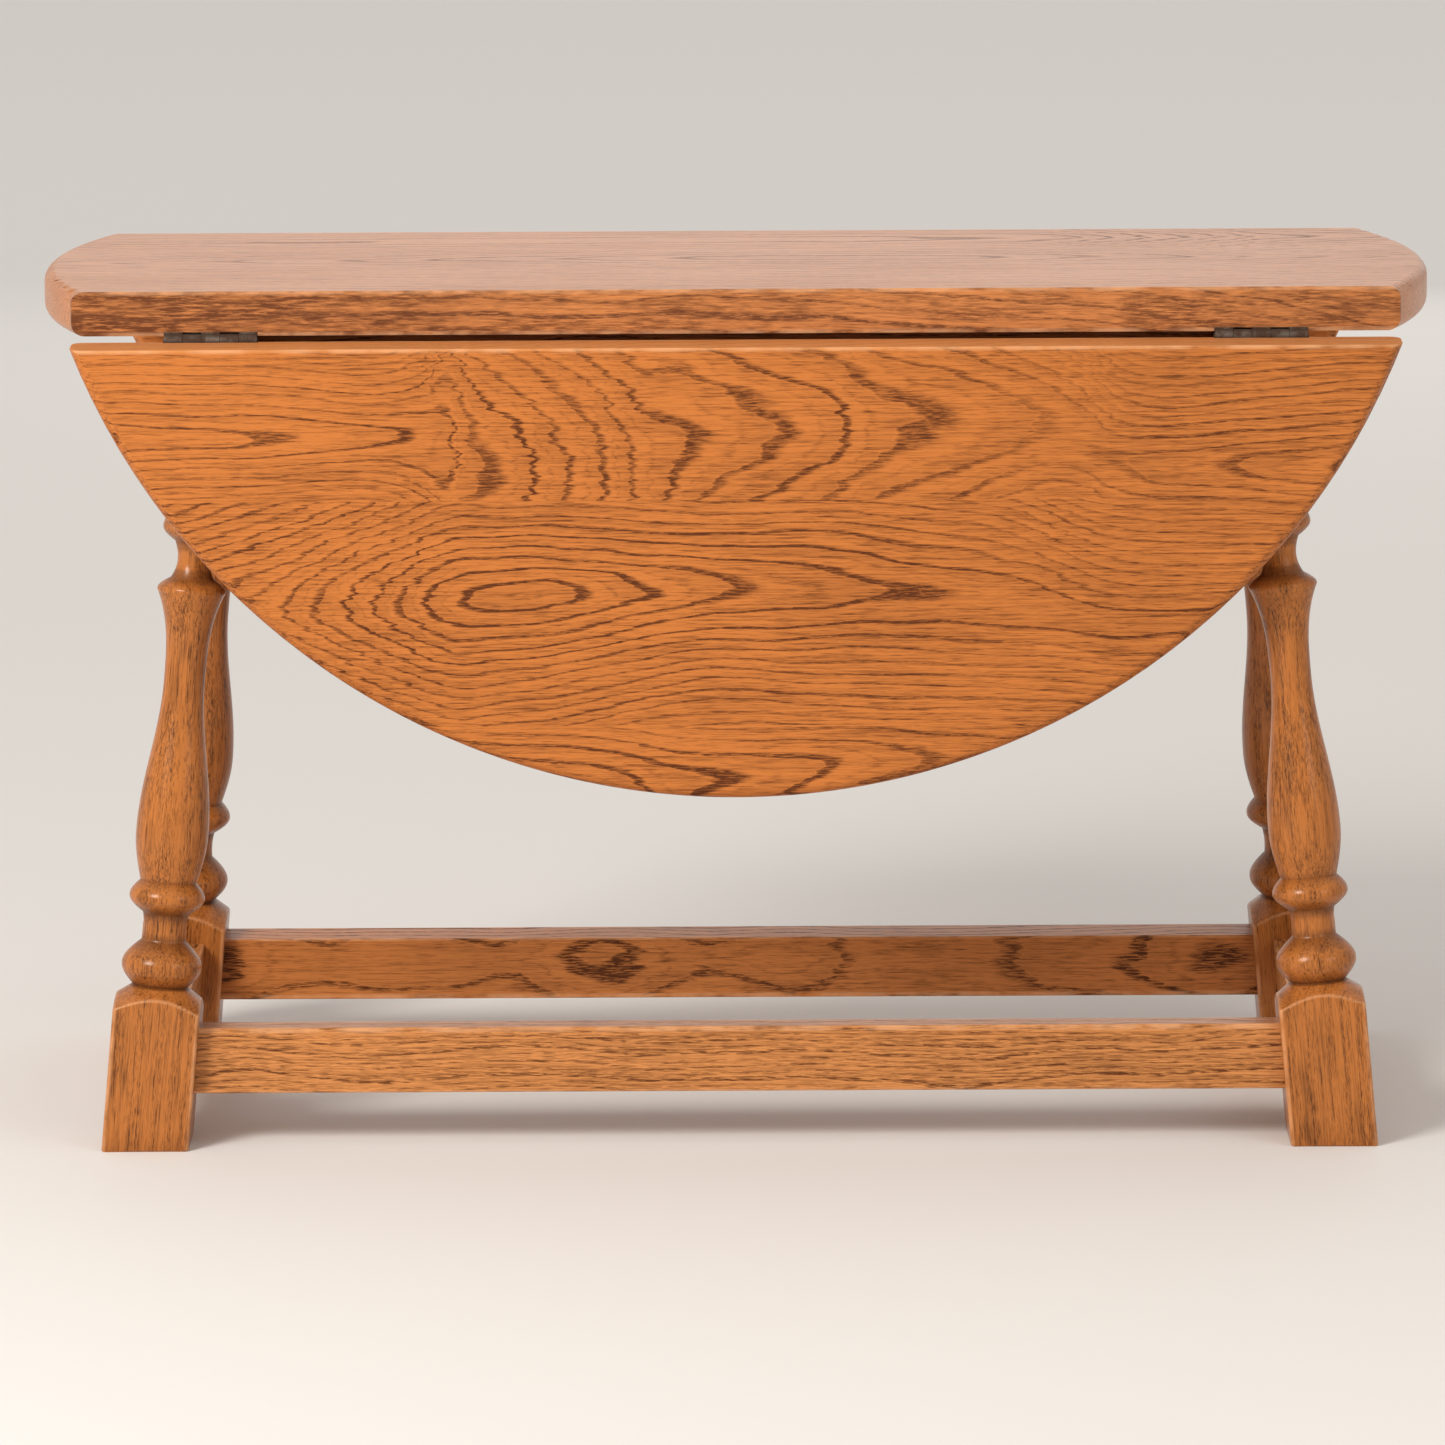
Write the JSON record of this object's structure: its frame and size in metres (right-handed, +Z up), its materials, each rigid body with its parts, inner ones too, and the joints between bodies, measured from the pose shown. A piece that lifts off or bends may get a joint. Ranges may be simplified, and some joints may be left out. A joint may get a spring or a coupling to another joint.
{
  "type": "drop leaf table",
  "caption": "Low oak occasional table with a fixed centre board, hinged drop leaves that make a round top, turned splayed legs and a box stretcher.",
  "frame": {"origin": "on the floor, under the centre of the top", "axes": "+X along the fixed centre board, -Y towards the front leaf, +Z up"},
  "size_m": [0.76, 0.3154, 0.468],
  "materials": {
    "oak_top": "satin varnished golden oak",
    "oak_turned": "satin varnished golden oak, turned",
    "oak_rail": "satin varnished golden oak, planed",
    "hinge_steel": "dull pressed steel",
    "screw_steel": "dull steel",
    "bolt_steel": "zinc plated steel",
    "insert_brass": "plain brass"
  },
  "bodies": {
    "frame": {"top_board": "oak_top", "leg_front_left": "oak_turned", "leg_front_right": "oak_turned", "leg_rear_left": "oak_turned", "leg_rear_right": "oak_turned", "apron_front": "oak_rail", "apron_rear": "oak_rail", "apron_left": "oak_rail", "apron_right": "oak_rail", "stretcher_front": "oak_rail", "stretcher_rear": "oak_rail", "stretcher_left": "oak_rail", "stretcher_right": "oak_rail", "pivot_rail": "oak_rail", "pivot_bolt": "bolt_steel", "pivot_washers": "bolt_steel", "pivot_insert": "insert_brass", "hinge_board_flap_front_left": "hinge_steel", "hinge_board_flap_front_right": "hinge_steel", "hinge_board_flap_rear_left": "hinge_steel", "hinge_board_flap_rear_right": "hinge_steel", "hinge_pin_front_left": "hinge_steel", "hinge_pin_front_right": "hinge_steel", "hinge_pin_rear_left": "hinge_steel", "hinge_pin_rear_right": "hinge_steel", "board_hinge_screws": "screw_steel"},
    "leaf_front": {"leaf_front": "oak_top", "hinge_leaf_flap_front_left": "hinge_steel", "hinge_leaf_flap_front_right": "hinge_steel", "leaf_hinge_screws_front": "screw_steel"},
    "leaf_rear": {"leaf_rear": "oak_top", "hinge_leaf_flap_rear_left": "hinge_steel", "hinge_leaf_flap_rear_right": "hinge_steel", "leaf_hinge_screws_rear": "screw_steel"}
  },
  "joints": [
    {"name": "leaf_front_hinge", "type": "hinge", "parent": "frame", "child": "leaf_front", "pos_m": [0, -0.1313, 0.4415], "axis": [-1, 0, 0], "range_deg": [0, 93.12]},
    {"name": "leaf_rear_hinge", "type": "hinge", "parent": "frame", "child": "leaf_rear", "pos_m": [0, 0.1313, 0.4415], "axis": [1, 0, 0], "range_deg": [0, 93.12]}
  ]
}
